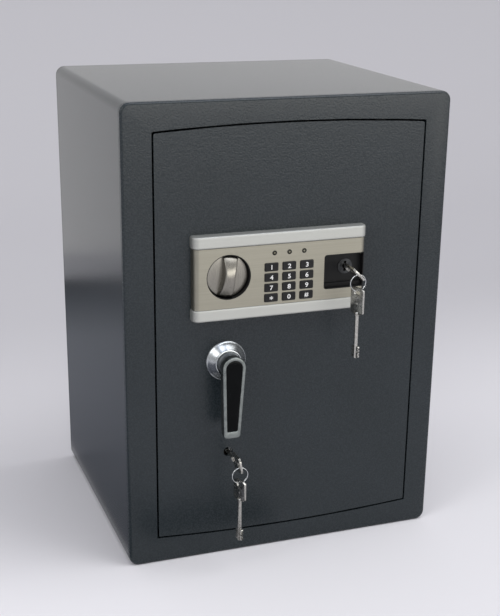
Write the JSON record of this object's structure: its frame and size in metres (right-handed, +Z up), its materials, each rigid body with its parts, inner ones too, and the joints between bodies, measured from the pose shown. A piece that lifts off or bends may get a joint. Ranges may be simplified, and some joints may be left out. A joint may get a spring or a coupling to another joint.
{
  "type": "electronic safe",
  "caption": "Free-standing steel safe with a hinged door, keypad lock and knob, lever handle, throwing bolts, key locks and a removable shelf.",
  "frame": {"origin": "centre of the cabinet's underside, midway between its two floor anchor holes", "axes": "+Z up, the door faces -Y, +X to the right as seen by someone facing the door"},
  "size_m": [0.35, 0.3459, 0.49],
  "materials": {
    "black_plastic": "moulded, fine grain",
    "board_green": "solder mask",
    "brushed_nickel": "brushed, nickel plated",
    "carpet": "needled felt",
    "cell_foil": "wrapped cell",
    "coil_wire": "enamelled wire winding",
    "gloss_black": "glossy",
    "graphite_paint": "fine textured powder coat",
    "grey_rubber": "matt",
    "key_nickel": "nickel plated brass",
    "lens_smoke": "clear moulded, unlit",
    "lever_chrome": "satin chrome plate on a zinc casting",
    "rose_chrome": "polished chrome plate",
    "satin_aluminium": "satin anodised",
    "turned_brass": "machined",
    "zinc_steel": "zinc plated"
  },
  "bodies": {
    "cabinet": {"cabinet_wrap": "graphite_paint", "back_plate": "graphite_paint", "front_frame": "graphite_paint", "door_stop": "graphite_paint", "bolt_keeper": "graphite_paint", "hinge_brackets": "zinc_steel", "shelf_brackets": "graphite_paint", "shelf": "graphite_paint", "carpet_mat": "carpet"},
    "door": {"door_plate": "graphite_paint", "door_tray": "graphite_paint", "hinge_pins": "zinc_steel", "inner_cover": "graphite_paint", "cover_screws": "zinc_steel", "guide_studs": "zinc_steel", "lock_cases": "zinc_steel", "solenoid": "coil_wire", "battery_box": "black_plastic", "batteries": "cell_foil", "panel_base": "black_plastic", "panel_fascia": "brushed_nickel", "trim_bars": "satin_aluminium", "knob_well": "black_plastic", "lock_recess": "black_plastic", "circuit_board": "board_green", "keypad_mat": "grey_rubber", "indicator_lights": "lens_smoke", "override_cylinder": "zinc_steel", "handle_rose": "rose_chrome"},
    "handle": {"handle_lever": "lever_chrome", "lever_inlay": "gloss_black", "handle_spindle": "zinc_steel"},
    "bolts": {"bolt_carriage": "zinc_steel", "locking_bolts": "rose_chrome"},
    "knob": {"knob": "brushed_nickel", "knob_cam": "zinc_steel"},
    "release_bar": {"release_bar": "zinc_steel"},
    "plunger": {"solenoid_plunger": "zinc_steel"},
    "main_key": {"main_key": "key_nickel", "main_lock_rotor": "turned_brass"},
    "main_lock_bolt": {"main_lock_bolt": "zinc_steel"},
    "main_ring": {"main_ring": "zinc_steel"},
    "main_spare": {"main_spare_key": "key_nickel"},
    "override_key": {"override_key": "key_nickel", "override_rotor": "turned_brass"},
    "override_ring": {"override_ring": "zinc_steel"},
    "override_spare": {"override_spare_key": "key_nickel"},
    "battery_cover": {"battery_cover": "black_plastic"},
    "key_1": {"key_1": "black_plastic"},
    "key_2": {"key_2": "black_plastic"},
    "key_3": {"key_3": "black_plastic"},
    "key_4": {"key_4": "black_plastic"},
    "key_5": {"key_5": "black_plastic"},
    "key_6": {"key_6": "black_plastic"},
    "key_7": {"key_7": "black_plastic"},
    "key_8": {"key_8": "black_plastic"},
    "key_9": {"key_9": "black_plastic"},
    "key_star": {"key_star": "black_plastic"},
    "key_0": {"key_0": "black_plastic"},
    "key_hash": {"key_hash": "black_plastic"}
  },
  "joints": [
    {"name": "door_hinge", "type": "hinge", "parent": "cabinet", "child": "door", "pos_m": [0.12085, -0.1408, 0.245], "axis": [0, 0, 1], "range_deg": [0, 110]},
    {"name": "handle_turn", "type": "hinge", "parent": "door", "child": "handle", "pos_m": [-0.069, -0.15, 0.223], "axis": [0, -1, 0], "range_deg": [0, 52]},
    {"name": "bolt_throw", "type": "slide", "parent": "door", "child": "bolts", "axis": [-1, 0, 0], "range_m": [0, 0.0186]},
    {"name": "knob_turn", "type": "hinge", "parent": "door", "child": "knob", "pos_m": [-0.0698, -0.15, 0.3151], "axis": [0, 1, 0], "range_deg": [0, 60]},
    {"name": "release_slide", "type": "slide", "parent": "door", "child": "release_bar", "axis": [0, 0, -1], "range_m": [0, 0.0084]},
    {"name": "plunger_slide", "type": "slide", "parent": "door", "child": "plunger", "axis": [-1, 0, 0], "range_m": [0, 0.006]},
    {"name": "main_key_turn", "type": "hinge", "parent": "door", "child": "main_key", "pos_m": [-0.0655, -0.15, 0.119], "axis": [0, 1, 0], "range_deg": [0, 90]},
    {"name": "lock_bolt_slide", "type": "slide", "parent": "door", "child": "main_lock_bolt", "axis": [0, 0, 1], "range_m": [0, 0.0095]},
    {"name": "main_ring_swing", "type": "hinge", "parent": "main_key", "child": "main_ring", "pos_m": [-0.06501, -0.187, 0.11624], "axis": [0, 1, 0], "range_deg": [-25, 8]},
    {"name": "main_spare_swing", "type": "hinge", "parent": "main_ring", "child": "main_spare", "pos_m": [-0.06501, -0.187, 0.10764], "axis": [0, 1, 0], "range_deg": [-60, 60]},
    {"name": "override_key_turn", "type": "hinge", "parent": "door", "child": "override_key", "pos_m": [0.06, -0.15, 0.3145], "axis": [0, 1, 0], "range_deg": [-45, 45]},
    {"name": "override_ring_swing", "type": "hinge", "parent": "override_key", "child": "override_ring", "pos_m": [0.06081, -0.187, 0.31369], "axis": [0, 1, 0], "range_deg": [-80, 0]},
    {"name": "override_spare_swing", "type": "hinge", "parent": "override_ring", "child": "override_spare", "pos_m": [0.06081, -0.187, 0.30509], "axis": [0, 1, 0], "range_deg": [-60, 60]},
    {"name": "battery_cover_slide", "type": "slide", "parent": "door", "child": "battery_cover", "axis": [0, 0, 1], "range_m": [0, 0.055]},
    {"name": "key_1_press", "type": "slide", "parent": "door", "child": "key_1", "axis": [0, 1, 0], "range_m": [0, 0.0012], "stiffness_N_per_m": 600},
    {"name": "key_2_press", "type": "slide", "parent": "door", "child": "key_2", "axis": [0, 1, 0], "range_m": [0, 0.0012], "stiffness_N_per_m": 600},
    {"name": "key_3_press", "type": "slide", "parent": "door", "child": "key_3", "axis": [0, 1, 0], "range_m": [0, 0.0012], "stiffness_N_per_m": 600},
    {"name": "key_4_press", "type": "slide", "parent": "door", "child": "key_4", "axis": [0, 1, 0], "range_m": [0, 0.0012], "stiffness_N_per_m": 600},
    {"name": "key_5_press", "type": "slide", "parent": "door", "child": "key_5", "axis": [0, 1, 0], "range_m": [0, 0.0012], "stiffness_N_per_m": 600},
    {"name": "key_6_press", "type": "slide", "parent": "door", "child": "key_6", "axis": [0, 1, 0], "range_m": [0, 0.0012], "stiffness_N_per_m": 600},
    {"name": "key_7_press", "type": "slide", "parent": "door", "child": "key_7", "axis": [0, 1, 0], "range_m": [0, 0.0012], "stiffness_N_per_m": 600},
    {"name": "key_8_press", "type": "slide", "parent": "door", "child": "key_8", "axis": [0, 1, 0], "range_m": [0, 0.0012], "stiffness_N_per_m": 600},
    {"name": "key_9_press", "type": "slide", "parent": "door", "child": "key_9", "axis": [0, 1, 0], "range_m": [0, 0.0012], "stiffness_N_per_m": 600},
    {"name": "key_star_press", "type": "slide", "parent": "door", "child": "key_star", "axis": [0, 1, 0], "range_m": [0, 0.0012], "stiffness_N_per_m": 600},
    {"name": "key_0_press", "type": "slide", "parent": "door", "child": "key_0", "axis": [0, 1, 0], "range_m": [0, 0.0012], "stiffness_N_per_m": 600},
    {"name": "key_hash_press", "type": "slide", "parent": "door", "child": "key_hash", "axis": [0, 1, 0], "range_m": [0, 0.0012], "stiffness_N_per_m": 600}
  ],
  "couplings": [
    {"joint": "handle_turn", "follows": "bolt_throw", "rad_per_m": 46.93},
    {"joint": "release_slide", "follows": "knob_turn", "m_per_rad": 0.0076394},
    {"joint": "lock_bolt_slide", "follows": "main_key_turn", "m_per_rad": 0.005762}
  ]
}
